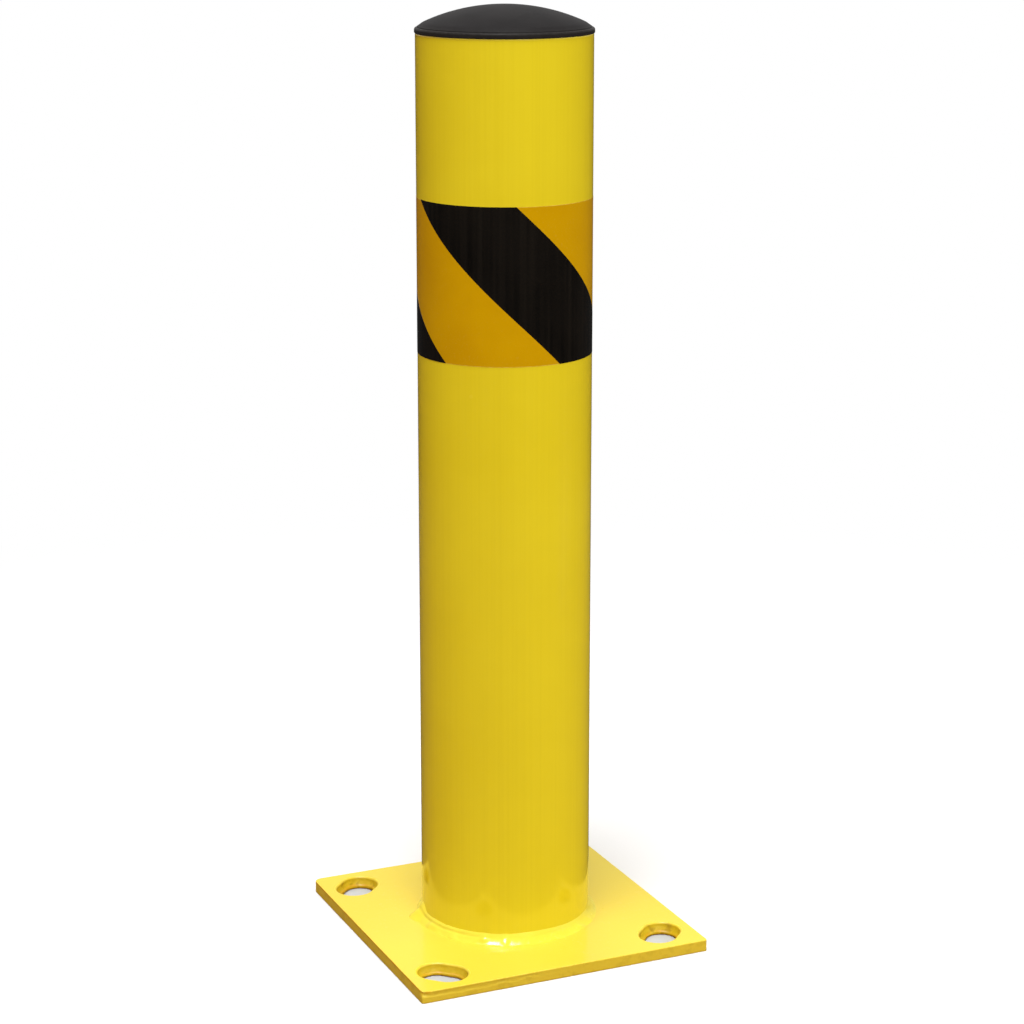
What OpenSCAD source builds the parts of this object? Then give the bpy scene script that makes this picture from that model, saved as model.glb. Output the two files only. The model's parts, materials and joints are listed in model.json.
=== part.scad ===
// Surface-mounted safety bollard: a steel pipe welded upright on a square anchor plate,
// with a hazard tape wrapped round it and a domed plastic cap pushed into its open top.
// The origin is the middle of the plate's underside, +Z runs up the pipe,
// and the plate's sides run along X and Y.

/* [Pipe] */
// Outside diameter of the pipe
pipe_od = 114.3; // [80:0.1:130]
// Wall of the pipe
pipe_wall = 3.2; // [2:0.1:6]
// Length of the pipe, from the plate's top to its open end
pipe_len = 597; // [350:1:1200]

/* [Anchor plate] */
// Side of the square plate
plate_w = 206; // [190:1:320]
// Thickness of the plate
plate_t = 8; // [5:0.5:16]
// Radius of the plate's four upright corners
plate_corner_r = 1.5; // [0.5:0.1:6]
// Width of the broken edge round the plate's top
plate_edge = 0.8; // [0.2:0.1:2]

/* [Anchor slots] */
// Width of a slot, which its anchor bolt passes through
slot_w = 24.5; // [14:0.5:26]
// Distance between the middles of a slot's two round ends
slot_travel = 8.5; // [2:0.5:12]
// Distance from the plate's sides to the middle of a slot
slot_inset = 24; // [22:0.5:30]
// Width of the broken edge round a slot's mouth
slot_rim = 0.8; // [0.2:0.1:1.5]

/* [Weld bead] */
// Leg of the fillet weld, up the pipe and out over the plate
weld_leg = 6; // [3:0.5:8]
// How far the bead's face bulges past a straight fillet
weld_crown = 0.9; // [0.2:0.1:2]
// How much the leg wanders round the pipe
weld_wander = 0.5; // [0:0.1:1]
// Height of the ripples that the torch left
weld_ripple = 0.4; // [0:0.05:0.8]
// Number of ripples round the pipe
weld_ripples = 58; // [24:1:80]

/* [Cap] */
// How far the cap's rim stands out past the pipe
cap_overhang = 0.5; // [0:0.1:3]
// Height of the rim that sits on the pipe's end
cap_rim_h = 3.5; // [2.5:0.1:8]
// Radius of the rim's outer upper edge
cap_rim_round = 1.6; // [0.4:0.1:2.2]
// Ledge between the rim's rounded edge and the foot of the dome
cap_ledge = 0.4; // [0.1:0.1:3]
// Rise of the dome above the rim
cap_dome_rise = 14.3; // [6:0.1:30]
// Thickness of the dome
cap_wall = 2.6; // [1.5:0.1:4]
// Length of the plug that goes into the pipe
plug_len = 24; // [16:1:60]
// Wall of the plug
plug_wall = 2.2; // [1.2:0.1:4]
// Gap between the plug's wall and the bore, which the fins bridge
plug_gap = 2.4; // [1.2:0.1:4]
// Number of gripping fins round the plug
fin_count = 4; // [2:1:6]
// Thickness of a fin at its root
fin_root_t = 1.6; // [0.8:0.1:2]
// Thickness of a fin at its tip
fin_tip_t = 0.7; // [0.4:0.1:0.8]
// Clearance left between a fin's tip and the bore
fin_clearance = 0.1; // [0.05:0.05:0.5]

/* [Hazard tape] */
// Width of the tape
tape_w = 102; // [50:1:110]
// Distance from the pipe's open end down to the tape's top edge
tape_drop = 104; // [20:1:150]
// Thickness of the film
tape_t = 0.25; // [0.1:0.05:0.6]
// Length of the tape's end that laps over its start
tape_lap = 14; // [4:1:30]
// Direction, seen from above, in which the tape's end lies
tape_end_turn = 60; // [0:1:359]
// Clearance for the adhesive between the pipe and the film
tape_gap = 0.02; // [0.01:0.01:0.1]
// Width of a black stripe, measured round the pipe
stripe_w = 77; // [30:1:100]
// Width of the amber field between two stripes, measured round the pipe
stripe_space = 79; // [30:1:100]
// Slope of the stripes from level
stripe_slope = 43.5; // [30:0.5:60]
// Direction, seen from above, of one stripe's middle at half the tape's height
stripe_turn = 269; // [0:1:359]
// Thickness of the black printed layer on the film
print_t = 0.15; // [0.05:0.01:0.3]

/* [Hidden] */

$fn = 96;
full_turn = 360;
half_turn = 180;
pad = 1; // how far a cutter runs past the face that it opens

yellow_paint = [0.90, 0.74, 0.10];
amber_film = [0.82, 0.60, 0.02];
black_print = [0.07, 0.07, 0.07];
black_plastic = [0.16, 0.16, 0.17];

pipe_r = pipe_od / 2;
bore_r = pipe_r - pipe_wall;
pipe_top = plate_t + pipe_len;

slot_r = slot_w / 2;
slot_reach = plate_w / 2 - slot_inset;

// The bead's slow waves and the points of its section
weld_steps = 232;
weld_face_steps = 4;
weld_slow_waves = 3;
weld_quick_waves = 7;
weld_slow_share = 0.6;
weld_quick_share = 0.4;
weld_fit = 0.01;
weld_r = (pipe_r + weld_fit) / cos(half_turn / weld_steps);

rim_r = pipe_r + cap_overhang;
dome_foot_r = rim_r - cap_rim_round - cap_ledge;
dome_r = (pow(dome_foot_r, 2) + pow(cap_dome_rise, 2)) / (2 * cap_dome_rise);
plug_r = bore_r - plug_gap;
plug_bore_r = plug_r - plug_wall;
plug_lead = plug_wall / 2;
fin_pitch = (plug_len - plug_lead - fin_root_t) / fin_count;
fin_lift = plug_gap / 3;

tape_r = pipe_r + tape_gap;
tape_face_r = tape_r + tape_t;
tape_low = pipe_top - tape_drop - tape_w;
degrees_per_mm = full_turn / (2 * PI * tape_face_r);
lap_angle = tape_lap * degrees_per_mm;
stripe_angle = stripe_w * degrees_per_mm;
stripe_pitch = (stripe_w + stripe_space) * degrees_per_mm;
stripe_twist = tape_w / tan(stripe_slope) * degrees_per_mm;
// Half of the turn that one whole stripe takes up, from its top corner to its bottom corner
stripe_reach = (stripe_angle + stripe_twist) / 2;
stripe_slices = 18;
stripe_facets = 6;
stripe_cut_depth = 1;
first_stripe = ceil((tape_end_turn - stripe_reach - stripe_turn) / stripe_pitch);
last_stripe = floor((tape_end_turn + full_turn + stripe_reach - stripe_turn) / stripe_pitch);

// A square with four round corners
module rounded_square(side, r) {
    reach = side / 2 - r;
    square([side, side - 2 * r], center = true);
    square([side - 2 * r, side], center = true);
    for (x = [-reach, reach], y = [-reach, reach])
        translate([x, y]) circle(r);
}

// The broken edge along one side of the plate's top
module edge_cutter() {
    translate([plate_w / 2, 0, plate_t])
        rotate([0, 45, 0])
            cube([plate_edge * sqrt(2), plate_w + 2 * pad, plate_edge * sqrt(2)], center = true);
}

// One anchor slot with the broken edge of its mouth, its long way along X
module slot_cutter() {
    mouth = slot_rim + pad;
    translate([-slot_travel / 2, -slot_r, -pad])
        cube([slot_travel, slot_w, plate_t + 2 * pad]);
    for (x = [-slot_travel / 2, slot_travel / 2]) {
        translate([x, 0, -pad])
            cylinder(r = slot_r, h = plate_t + 2 * pad);
        translate([x, 0, plate_t - slot_rim])
            cylinder(r1 = slot_r, r2 = slot_r + mouth, h = mouth);
    }
    translate([0, 0, plate_t - slot_rim])
        rotate([90, 0, 90])
            linear_extrude(slot_travel, center = true)
                polygon([[-slot_r, 0], [slot_r, 0], [slot_r + mouth, mouth], [-slot_r - mouth, mouth]]);
}

// The four slots lie across the plate's diagonals, so the post can be turned a little on its anchors
module base_plate() {
    color(yellow_paint)
        difference() {
            linear_extrude(plate_t)
                rounded_square(plate_w, plate_corner_r);
            for (side = [0:3])
                rotate([0, 0, side * 90])
                    edge_cutter();
            for (corner = [0:3])
                rotate([0, 0, corner * 90])
                    translate([slot_reach, slot_reach, 0])
                        rotate([0, 0, -45])
                            slot_cutter();
        }
}

module pipe() {
    color(yellow_paint)
        translate([0, 0, plate_t])
            difference() {
                cylinder(r = pipe_r, h = pipe_len);
                translate([0, 0, -pad])
                    cylinder(r = bore_r, h = pipe_len + 2 * pad);
            }
}

// Leg of the bead in the direction a: a slow wander with the torch's ripples on it
function weld_leg_at(a) =
    weld_leg
    + weld_wander * weld_slow_share * sin(weld_slow_waves * a)
    + weld_wander * weld_quick_share * sin(weld_quick_waves * a)
    + weld_ripple * abs(sin(weld_ripples * a / 2));

// Point j of the bead's face, from its toe on the plate up to its toe on the pipe
function weld_face_point(a, j) =
    let (leg = weld_leg_at(a),
         up = j / weld_face_steps,
         bulge = weld_crown * sin(half_turn * up) / sqrt(2),
         r = weld_r + leg * (1 - up) + bulge)
    [r * cos(a), r * sin(a), plate_t + leg * up + bulge];

function weld_root_point(a) = [weld_r * cos(a), weld_r * sin(a), plate_t];

module weld_bead() {
    ring = weld_face_steps + 2;
    points = [
        for (i = [0:weld_steps - 1])
            let (a = i * full_turn / weld_steps)
            for (j = [0:ring - 1])
                j == 0 ? weld_root_point(a) : weld_face_point(a, j - 1)
    ];
    faces = [
        for (i = [0:weld_steps - 1], j = [0:ring - 1])
            let (here = i * ring,
                 next = (i + 1) % weld_steps * ring,
                 up = (j + 1) % ring)
            each [[here + j, here + up, next + up], [here + j, next + up, next + j]]
    ];
    color(yellow_paint)
        polyhedron(points, faces);
}

// A thin layer round the pipe, from the direction start over the given angle, as tall as the tape
module wrap(r, t, start, angle, spare = 0) {
    translate([0, 0, tape_low - spare])
        rotate([0, 0, start])
            rotate_extrude(angle = angle)
                translate([r, 0])
                    square([t, tape_w + 2 * spare]);
}

// The film goes once round the pipe, and lies double where its end laps over its start
module tape_band() {
    color(amber_film)
        difference() {
            wrap(tape_r, 2 * tape_t, 0, full_turn);
            wrap(tape_face_r, tape_t + pad, tape_end_turn, full_turn - lap_angle, spare = pad);
        }
}

// The printed layer on the film's face, a step higher where the end laps over
module print_layer() {
    wrap(tape_face_r, print_t, tape_end_turn, full_turn - lap_angle);
    wrap(tape_face_r + tape_t, print_t, tape_end_turn - lap_angle, lap_angle);
}

// The slanted slice of space that one stripe fills, its middle in the direction turn at half height
module stripe_space_at(turn) {
    inner = tape_r - stripe_cut_depth;
    outer = (tape_face_r + tape_t + print_t + stripe_cut_depth) / cos(stripe_angle / stripe_facets / 2);
    directions = [for (i = [0:stripe_facets]) stripe_angle * (i / stripe_facets - 1 / 2)];
    translate([0, 0, tape_low])
        rotate([0, 0, turn + stripe_twist / 2])
            linear_extrude(tape_w, twist = stripe_twist, slices = stripe_slices, segments = stripe_facets)
                polygon([
                    for (a = directions) outer * [cos(a), sin(a)],
                    for (i = [stripe_facets:-1:0]) inner * [cos(directions[i]), sin(directions[i])]
                ]);
}

// What a stripe would print past the tape's end, on the far side of it
module past_end(start, angle) {
    wrap(tape_r, 3 * tape_t + print_t, start, angle, spare = pad);
}

module tape_stripes() {
    color(black_print)
        for (k = [first_stripe:last_stripe]) {
            turn = stripe_turn + k * stripe_pitch;
            over = turn + stripe_reach - tape_end_turn - full_turn;
            under = tape_end_turn - turn + stripe_reach;
            difference() {
                intersection() {
                    print_layer();
                    stripe_space_at(turn);
                }
                if (over > 0) past_end(tape_end_turn, over);
                if (under > 0) past_end(tape_end_turn - under, under);
            }
        }
}

// The cap's half section above the pipe's end: a flat rim with a rounded edge, and the dome on it
module cap_top_section() {
    square([rim_r - cap_rim_round, cap_rim_h]);
    square([rim_r, cap_rim_h - cap_rim_round]);
    translate([rim_r - cap_rim_round, cap_rim_h - cap_rim_round]) circle(cap_rim_round);
    intersection() {
        translate([0, cap_rim_h + cap_dome_rise - dome_r]) circle(dome_r);
        translate([0, cap_rim_h / 2]) square([dome_foot_r, cap_rim_h / 2 + cap_dome_rise]);
    }
}

// One fin: thick at its root, thin at its tip, and raised towards the rim so that it folds as it goes in
module fin_section(z) {
    tip = bore_r - fin_clearance;
    polygon([
        [plug_r - plug_wall / 2, z],
        [plug_r, z],
        [tip, z + fin_lift],
        [tip, z + fin_lift + fin_tip_t],
        [plug_r, z + fin_root_t],
        [plug_r - plug_wall / 2, z + fin_root_t]
    ]);
}

// The plug's half section below the pipe's end, with a tapered lead-in at its mouth
module plug_section() {
    polygon([
        [plug_bore_r, 0],
        [plug_bore_r, -plug_len],
        [plug_r - plug_lead, -plug_len],
        [plug_r, plug_lead - plug_len],
        [plug_r, 0]
    ]);
    for (i = [0:fin_count - 1])
        fin_section(plug_lead - plug_len + i * fin_pitch);
}

// The hollow under the dome, open down through the plug
module cap_hollow_section() {
    intersection() {
        translate([0, cap_rim_h + cap_dome_rise - dome_r]) circle(dome_r - cap_wall);
        translate([0, -pad]) square([plug_bore_r, pad + cap_rim_h + cap_dome_rise]);
    }
}

// One moulding: the cap is held in the pipe by its fins alone
module dome_cap() {
    color(black_plastic)
        translate([0, 0, pipe_top])
            rotate_extrude()
                difference() {
                    union() {
                        cap_top_section();
                        plug_section();
                    }
                    cap_hollow_section();
                }
}

base_plate();
pipe();
weld_bead();
tape_band();
tape_stripes();
dome_cap();
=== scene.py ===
"""Looks of a safety bollard: a powder-coated post welded on its plate, with a hazard tape and a plastic cap.

Lengths are metres in the row frame. The origin is the middle of the plate's underside, and +Z is up.
Directions round the post are degrees from +X, seen from above.
"""

import json
import math
from types import SimpleNamespace

import bmesh
import bpy
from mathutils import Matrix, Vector, noise
from mathutils.geometry import delaunay_2d_cdt


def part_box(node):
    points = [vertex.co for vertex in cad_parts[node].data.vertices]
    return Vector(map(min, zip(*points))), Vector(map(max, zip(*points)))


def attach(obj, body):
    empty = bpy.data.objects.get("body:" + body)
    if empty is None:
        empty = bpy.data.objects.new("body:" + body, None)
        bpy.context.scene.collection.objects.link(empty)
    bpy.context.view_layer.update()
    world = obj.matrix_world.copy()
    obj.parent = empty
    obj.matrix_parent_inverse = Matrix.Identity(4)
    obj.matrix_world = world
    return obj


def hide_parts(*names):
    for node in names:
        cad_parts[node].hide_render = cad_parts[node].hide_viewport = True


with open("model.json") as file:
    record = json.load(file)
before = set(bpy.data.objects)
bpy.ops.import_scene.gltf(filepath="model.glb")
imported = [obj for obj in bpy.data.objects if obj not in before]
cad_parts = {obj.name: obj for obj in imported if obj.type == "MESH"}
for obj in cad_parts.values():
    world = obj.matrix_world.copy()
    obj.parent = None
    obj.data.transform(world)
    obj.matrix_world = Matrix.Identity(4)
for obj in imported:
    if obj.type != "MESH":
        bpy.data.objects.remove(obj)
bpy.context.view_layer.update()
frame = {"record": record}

MM = 0.001
TURN = 2 * math.pi

# Sizes that the frame gives
PLATE_HALF, _, PLATE_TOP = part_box("base_plate")[1]
POST_RADIUS, _, POST_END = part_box("pipe")[1]
TAPE_FACE, _, TAPE_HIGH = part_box("tape_band")[1]
TAPE_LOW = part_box("tape_band")[0].z
CAP_RADIUS, _, CAP_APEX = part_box("dome_cap")[1]
CAP_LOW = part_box("dome_cap")[0].z
SLOT_CENTRES = [
    (Vector(opening["box_m"][0]) + Vector(opening["box_m"][1])) / 2
    for opening in frame["record"]["physics"]["openings"]
    if opening["name"].startswith("slot_")
]

# Sizes that repeat the part's source
POST_WALL = 3.2 * MM
PLATE_CORNER = 1.5 * MM
SLOT_RADIUS = 12.25 * MM
SLOT_TRAVEL = 8.5 * MM
WELD_LEG = 6 * MM
TAPE_THICKNESS = 0.25 * MM
TAPE_LAP = 14 * MM
TAPE_END_TURN = 60
STRIPE_WIDTH = 77 * MM
STRIPE_SPACE = 79 * MM
STRIPE_SLOPE = 43.5
STRIPE_TURN = 269
CAP_RIM_HEIGHT = 3.5 * MM
CAP_RIM_ROUND = 1.6 * MM
CAP_LEDGE = 0.4 * MM
CAP_WALL = 2.6 * MM
PLUG_RADIUS = 51.55 * MM
PLUG_WALL = 2.2 * MM
FIN_COUNT = 4
FIN_PITCH = 5.325 * MM
FIN_THICKNESS = 1.6 * MM
FIN_TIP = 0.7 * MM
FIN_REACH = 53.85 * MM
FIN_LIFT = 0.8 * MM


# Node trees


class Wire:
    """A value that runs through a node tree. Arithmetic on it adds Math nodes."""

    def __init__(self, socket):
        self.socket = socket

    def __add__(self, other):
        return maths("ADD", self, other)

    def __sub__(self, other):
        return maths("SUBTRACT", self, other)

    def __rsub__(self, other):
        return maths("SUBTRACT", other, self)

    def __mul__(self, other):
        return maths("MULTIPLY", self, other)

    def __truediv__(self, other):
        return maths("DIVIDE", self, other)

    def __pow__(self, other):
        return maths("POWER", self, other)

    __radd__ = __add__
    __rmul__ = __mul__


def tree_of(*values):
    """The node tree of the first wire among the values."""
    return next(value.socket.id_data for value in values if isinstance(value, Wire))


def plug(value, socket):
    """Links a wire to a socket, or sets the socket to a plain value."""
    if isinstance(value, Wire):
        socket.id_data.links.new(value.socket, socket)
    else:
        socket.default_value = value


def add(tree, kind, inputs=None, out=0, **settings):
    """A new node with its settings and inputs. Gives the wire from one of its outputs."""
    made = tree.nodes.new(kind)
    for name, value in settings.items():
        setattr(made, name, value)
    for key, value in (inputs or {}).items():
        plug(value, made.inputs[key])
    return Wire(made.outputs[out])


def maths(operation, *values):
    """The result of one Math node."""
    return add(tree_of(*values), "ShaderNodeMath", dict(enumerate(values)), operation=operation)


def vector_maths(operation, *values, out=0):
    """The result of one Vector Math node."""
    return add(tree_of(*values), "ShaderNodeVectorMath", dict(enumerate(values)), out, operation=operation)


def combine(*numbers):
    """A vector of three numbers."""
    return add(tree_of(*numbers), "ShaderNodeCombineXYZ", dict(enumerate(numbers)))


def split(vector):
    """The three numbers of a vector."""
    first = add(tree_of(vector), "ShaderNodeSeparateXYZ", {0: vector})
    return [Wire(socket) for socket in first.socket.node.outputs]


def ramp(value, low, high, start=0.0, end=1.0):
    """Start below low, end above high, and a smooth change between them."""
    limits = {"Value": value, "From Min": low, "From Max": high, "To Min": start, "To Max": end}
    return add(tree_of(value), "ShaderNodeMapRange", limits, "Result", interpolation_type="SMOOTHSTEP")


def grain(position, scale, detail):
    """Noise of that many waves a metre, about 0 to 1."""
    values = {"Vector": position, "Scale": scale, "Detail": detail}
    return add(tree_of(position), "ShaderNodeTexNoise", values, "Fac")


def blend_colours(share, first, second):
    """The first colour where share is 0, and the second where it is 1."""
    colours = {0: share, 6: first, 7: second}
    return add(tree_of(share, first, second), "ShaderNodeMix", colours, 2, data_type="RGBA")


def spoken(name):
    """The name of a socket as its node shows it."""
    return name.replace("_", " ").title()


def make_group(kind, build, output, **inputs):
    """A node group with one output, which build makes from its named inputs.

    An input is given as its usual value, or as its type.
    """
    tree = bpy.data.node_groups.new(build.__name__, kind)
    for name, value in inputs.items():
        value_type = value if isinstance(value, str) else type(value).__name__.title()
        socket_type = "NodeSocket" + value_type
        made = tree.interface.new_socket(name=spoken(name), in_out="INPUT", socket_type=socket_type)
        if value is not value_type:
            made.default_value = value
    output_type = output if output in ("Color", "Geometry") else "Float"
    tree.interface.new_socket(name=output, in_out="OUTPUT", socket_type="NodeSocket" + output_type)
    wires = map(Wire, tree.nodes.new("NodeGroupInput").outputs)
    given = SimpleNamespace(tree=tree, **dict(zip(inputs, wires)))
    plug(build(given), tree.nodes.new("NodeGroupOutput").inputs[0])
    return tree


# Shared finishes: groups that several materials use


def orange_peel(given):
    """The skin of a sprayed or moulded surface: fine round bumps on a slow flow."""
    bumps = grain(given.position, given.bumps, 1.0)
    return grain(given.position, given.flow, 1.0) * given.flow_share + bumps


def colour_drift(given):
    """A slow change between two shades of one colour."""
    share = ramp(grain(given.position, given.patches, 3.0), 0.3, 0.7)
    return blend_colours(share, given.light_shade, given.deep_shade)


def lengthwise_streaks(given):
    """Thin lines that run up the post, as rolling and wiping leave them."""
    stretch = combine(given.across, given.across, given.along)
    return ramp(grain(vector_maths("MULTIPLY", given.position, stretch), 1.0, 3.0), 0.35, 0.75)


def edge_wear(given):
    """Where a rim is rubbed and a highlight is painted on it: the rim's own mask, broken up by grain."""
    return given.rim * ramp(grain(given.position, given.grain, 3.0), 0.35, 0.65, 0.35, 1.0)


def dust(given):
    """Fine dust on what faces up, and less of it on upright walls."""
    lying = maths("MAXIMUM", ramp(split(given.normal)[2], 0.2, 0.9), given.upright_share)
    specks = ramp(grain(given.position, given.grain, 4.0), 0.56, 0.72)
    clouds = ramp(grain(given.position, given.clouds, 3.0), 0.35, 0.7, 0.2, 1.0)
    return specks * clouds * lying


def coat_nibs(given):
    """A few grains that the coat has covered, each a low dome."""
    cells = {"Vector": given.position, "Scale": given.cells}
    away = add(given.tree, "ShaderNodeTexVoronoi", cells, "Distance") / given.radius
    return 1.0 - maths("MINIMUM", away * away, 1.0)


def make_finish(build, output, **inputs):
    """A shader node group for finishes. Each reads the piece's own places."""
    return make_group("ShaderNodeTree", build, output, position="Vector", **inputs)


ORANGE_PEEL = make_finish(orange_peel, "Height", bumps=400.0, flow=60.0, flow_share=0.4)
COLOUR_DRIFT = make_finish(colour_drift, "Color", patches=12.0, light_shade="Color", deep_shade="Color")
STREAKS = make_finish(lengthwise_streaks, "Mask", across=250.0, along=6.0)
EDGE_WEAR_AND_HIGHLIGHT = make_finish(edge_wear, "Mask", rim=0.0, grain=300.0)
DUST = make_finish(dust, "Mask", normal="Vector", grain=500.0, clouds=14.0, upright_share=0.3)
NIBS = make_finish(coat_nibs, "Dome", cells=24.0, radius=0.05)

YELLOW = (0.785, 0.655, 0.018, 1)
YELLOW_DEEP = (0.762, 0.628, 0.016, 1)
YELLOW_LINE = (0.690, 0.560, 0.012, 1)
LEMON = (0.790, 0.615, 0.056, 1)
LEMON_DEEP = (0.775, 0.594, 0.048, 1)
# The weld has the post's powder coat, painted lighter and more lemon here: painted light on its tilted faces
WELD_YELLOW_PAINTED_LIGHTER = (0.81, 0.685, 0.045, 1)
WELD_DEEP_PAINTED_LIGHTER = (0.79, 0.655, 0.040, 1)
# Paler yellow for rubbed rims and coat nibs. On the rims it is partly a painted highlight where the edges
# catch the light
PALE_YELLOW_WEAR_AND_HIGHLIGHT = (0.84, 0.70, 0.06, 1)
# Darker golden colour of sheared sides and punched walls: partly the cut faces' own colour, partly painted
# shade of faces that turn away from the light
GOLDEN_CUT_AND_SHADE = (0.56, 0.392, 0.004, 1)
BROWN_SCUFF = (0.33, 0.195, 0.004, 1)
ORANGE_EDGE = (0.60, 0.31, 0.004, 1)
AMBER = (0.585, 0.338, 0.0004, 1)
AMBER_DEEP = (0.540, 0.298, 0.0004, 1)
AMBER_BEAD = (0.62, 0.36, 0.003, 1)
AMBER_RIM = (0.80, 0.62, 0.12, 1)
AMBER_GLOSS = (1.0, 0.72, 0.15, 1)
INK = (0.0058, 0.0048, 0.0040, 1)
INK_DEEP = (0.0030, 0.0026, 0.0022, 1)
INK_STREAK = (0.0095, 0.0075, 0.0055, 1)
PLASTIC_BLACK = (0.0165, 0.0150, 0.0152, 1)
PLASTIC_DEEP = (0.0130, 0.0118, 0.0120, 1)
# Paler rim of the cap: partly rubbed, partly a painted highlight along the rim
PLASTIC_RIM_WEAR_AND_HIGHLIGHT = (0.06, 0.056, 0.052, 1)
PALE_DUST = (0.80, 0.74, 0.55, 1)
GREY_DUST = (0.35, 0.33, 0.30, 1)


class Finish:
    """A material in the making. Its colour drifts between two shades, and gets layers over it."""

    def __init__(self, name, light, deep, patches):
        self.material = bpy.data.materials.new(name)
        self.material.use_nodes = True
        self.tree = self.material.node_tree
        self.position = add(self.tree, "ShaderNodeTexCoord", out="Object")
        self.colour = self.place(COLOUR_DRIFT, patches=patches, light_shade=light, deep_shade=deep)

    def place(self, group, **inputs):
        """One of the shared groups, with its own values."""
        values = {spoken(name): value for name, value in inputs.items()}
        return add(self.tree, "ShaderNodeGroup", {"Position": self.position, **values}, node_tree=group)

    def grain(self, scale, detail, *limits):
        """Grain in the piece's own places, drawn out between the limits of a ramp."""
        return ramp(grain(self.position, scale, detail), *limits)

    def mask(self, name):
        """A mask that the piece's mesh holds."""
        return add(self.tree, "ShaderNodeAttribute", out="Fac", attribute_name=name)

    def layer(self, mask, colour):
        """Lays a colour over the ones before it, as far as the mask says."""
        self.colour = blend_colours(mask, self.colour, colour)

    def wear(self, colour, strength, scale):
        """Pales the rims to that colour, as rubbing, and on the coat and the cap also as a painted highlight.
        Gives the mask of it.
        """
        worn = self.place(EDGE_WEAR_AND_HIGHLIGHT, rim=self.mask("rim"), grain=scale)
        self.layer(worn * strength, colour)
        return worn

    def settle(self, colour, strength, scale, upright_share):
        """Lets dust of that colour settle, and gives the mask of the dust."""
        normal = add(self.tree, "ShaderNodeNewGeometry", out="Normal")
        dusty = self.place(DUST, normal=normal, grain=scale, upright_share=upright_share)
        self.layer(dusty * strength, colour)
        return dusty

    def done(self, roughness, skin, depth, values):
        """The material with its roughness and its skin, whose bumps are that deep in metres."""
        shader = self.tree.nodes["Principled BSDF"].inputs
        bumpy = add(self.tree, "ShaderNodeBump", {"Height": skin, "Distance": depth}, "Normal")
        mixed = {"Base Color": self.colour, "Roughness": roughness, "Normal": bumpy}
        for name, value in {**mixed, **values}.items():
            plug(value, shader[name])
        return self.material


def powder_coat(name, light, deep, drift, rough, ior=1.5, drawn=0.0, peel=0.03 * MM):
    """Glossy yellow powder coat: golden and scuffed in the cuts, where the gold is partly painted shade, and
    paler and drier on the rims, where the paler colour is partly a painted highlight.

    Drawn is how far the lines of the drawn tube show through it.
    """
    coat = Finish(name, light, deep, drift)
    coat.layer(coat.place(STREAKS, across=560.0, along=3.0) * drawn, YELLOW_LINE)
    nibs = coat.place(NIBS, cells=24.0, radius=0.045)
    coat.layer(nibs * 0.35, PALE_YELLOW_WEAR_AND_HIGHLIGHT)
    cut_grain = coat.grain(350.0, 3.0, 0.3, 0.75, 0.75, 1.0)
    # The golden colour on cut faces is partly their own colour and partly painted shade
    cut = coat.mask("cut") * cut_grain
    coat.layer(cut, GOLDEN_CUT_AND_SHADE)
    coat.layer(cut * coat.grain(170.0, 4.0, 0.52, 0.66, 0.0, 0.7), BROWN_SCUFF)
    coat.layer(coat.mask("thin") * cut_grain, ORANGE_EDGE)
    # The paler rims are partly rubbed coat and partly a painted highlight
    worn = coat.wear(PALE_YELLOW_WEAR_AND_HIGHLIGHT, 0.6, 260.0)
    dusty = coat.settle(PALE_DUST, 0.05, 420.0, 0.15)
    wiped = coat.place(STREAKS, across=180.0, along=9.0)
    roughness = wiped * 0.05 + dusty * 0.10 + cut * 0.3 + worn * 0.3 + rough
    skin = nibs * 1.5 + coat.place(ORANGE_PEEL, bumps=380.0, flow=70.0, flow_share=0.8)
    return coat.done(roughness, skin, peel, {"IOR": ior})


TAPE_SKIN = {"bumps": 900.0, "flow": 110.0, "flow_share": 1.2}
TAPE_SKIN_DEPTH = 0.01 * MM


def reflective_film():
    """Amber retroreflective film: a clear glossy face over a very fine bead grain."""
    film = Finish("amber_film", AMBER, AMBER_DEEP, 20.0)
    film.layer(film.grain(2600.0, 1.0, 0.3, 0.7) * 0.15, AMBER_BEAD)
    film.wear(AMBER_RIM, 0.7, 400.0)
    film.settle(PALE_DUST, 0.15, 900.0, 0.25)
    roughness = film.place(STREAKS, across=420.0, along=12.0) * 0.08 + 0.17
    gloss = {"IOR": 1.5, "Specular IOR Level": 0.25, "Specular Tint": AMBER_GLOSS}
    return film.done(roughness, film.place(ORANGE_PEEL, **TAPE_SKIN), TAPE_SKIN_DEPTH, gloss)


def screen_print():
    """Black ink on the film: glossy, with the faint lengthwise streaks of the printing."""
    ink = Finish("black_print", INK, INK_DEEP, 25.0)
    streaks = ink.place(STREAKS, across=300.0, along=5.0)
    ink.layer(streaks * 0.8, INK_STREAK)
    ink.settle(PALE_DUST, 0.012, 900.0, 0.25)
    gloss = {"IOR": 1.45, "Specular IOR Level": 0.4}
    skin = ink.place(ORANGE_PEEL, **TAPE_SKIN)
    return ink.done(streaks * 0.08 + 0.16, skin, TAPE_SKIN_DEPTH, gloss)


def moulded_plastic():
    """Satin black moulding: a fine spark grain, a paler rim, partly rubbed and partly a painted highlight,
    and a little dust.
    """
    plastic = Finish("black_plastic", PLASTIC_BLACK, PLASTIC_DEEP, 40.0)
    # The paler rim is partly rubbed and partly a painted highlight
    worn = plastic.wear(PLASTIC_RIM_WEAR_AND_HIGHLIGHT, 0.25, 500.0)
    dusty = plastic.settle(GREY_DUST, 0.06, 800.0, 0.2)
    roughness = worn * -0.08 + (dusty * 0.2 + 0.46)
    skin = plastic.place(ORANGE_PEEL, bumps=1500.0, flow=90.0, flow_share=0.6)
    return plastic.done(roughness, skin, 0.03 * MM, {"IOR": 1.45, "Specular IOR Level": 0.07})


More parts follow.
